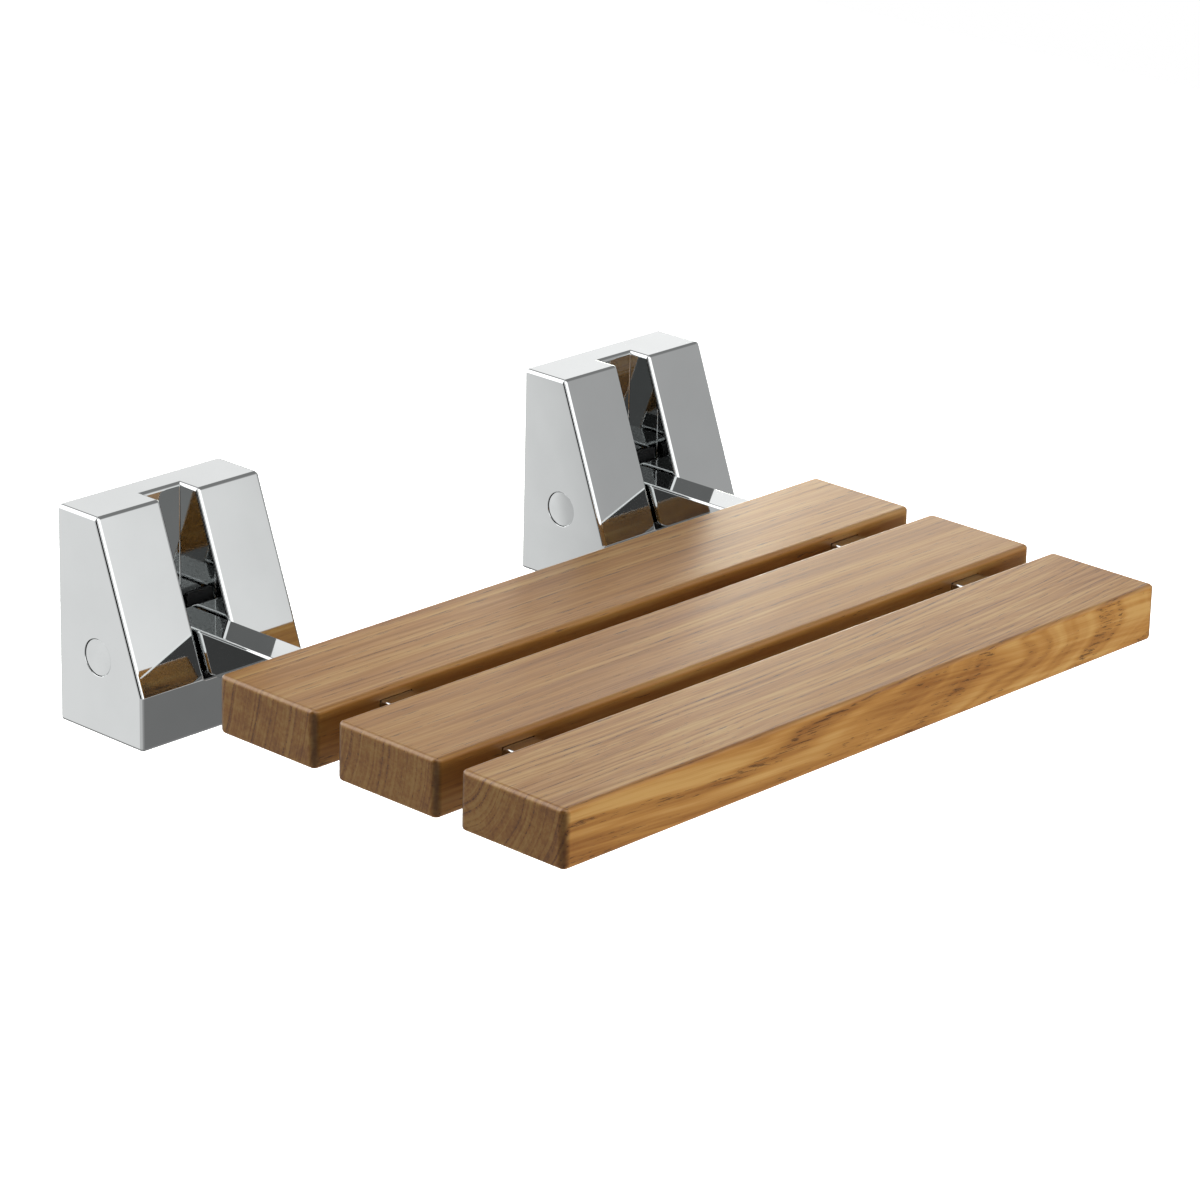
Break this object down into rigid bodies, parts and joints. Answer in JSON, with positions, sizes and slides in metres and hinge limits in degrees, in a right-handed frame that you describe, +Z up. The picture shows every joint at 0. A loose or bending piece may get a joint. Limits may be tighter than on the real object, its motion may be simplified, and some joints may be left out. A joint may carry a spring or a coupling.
{
  "type": "fold down wall seat",
  "caption": "Slatted wooden wall seat that folds up on two chromed arms hinged in wedge shaped wall housings.",
  "frame": {"origin": "on the wall, in the middle of the eight wall screws, halfway between the two housings", "axes": "+X along the slats to the right as seen from the front, +Y into the wall, +Z up; the seat reaches out towards -Y"},
  "size_m": [0.508, 0.405, 0.133],
  "materials": {
    "chrome": "mirror polished chrome plate",
    "chrome_plug": "polished chrome plate",
    "teak": "oiled teak, sanded, grain along the slat",
    "bracket_steel": "sawn and welded stainless steel",
    "pin_steel": "ground stainless steel",
    "screw_steel": "stainless steel",
    "bronze": "sintered bronze",
    "rubber": "matt black rubber",
    "black_plastic": "moulded black plastic"
  },
  "bodies": {
    "wall_side": {"left_wall_bracket": "bracket_steel", "right_wall_bracket": "bracket_steel", "left_housing_cover": "chrome", "right_housing_cover": "chrome", "left_cover_screws": "screw_steel", "right_cover_screws": "screw_steel", "left_pivot_pin": "pin_steel", "right_pivot_pin": "pin_steel", "left_pin_plugs": "chrome_plug", "right_pin_plugs": "chrome_plug", "left_down_stop_pad": "rubber", "right_down_stop_pad": "rubber", "left_up_stop_pad": "rubber", "right_up_stop_pad": "rubber"},
    "seat": {"left_arm": "chrome", "right_arm": "chrome", "left_pivot_bushes": "bronze", "right_pivot_bushes": "bronze", "left_arm_end_plug": "black_plastic", "right_arm_end_plug": "black_plastic", "left_slat_plates": "bracket_steel", "right_slat_plates": "bracket_steel", "left_slat_screws": "screw_steel", "right_slat_screws": "screw_steel", "rear_slat": "teak", "middle_slat": "teak", "front_slat": "teak"}
  },
  "joints": [
    {"name": "seat_fold", "type": "hinge", "parent": "wall_side", "child": "seat", "pos_m": [0, -0.0325, -0.0185], "axis": [-1, 0, 0], "range_deg": [0, 90]}
  ]
}
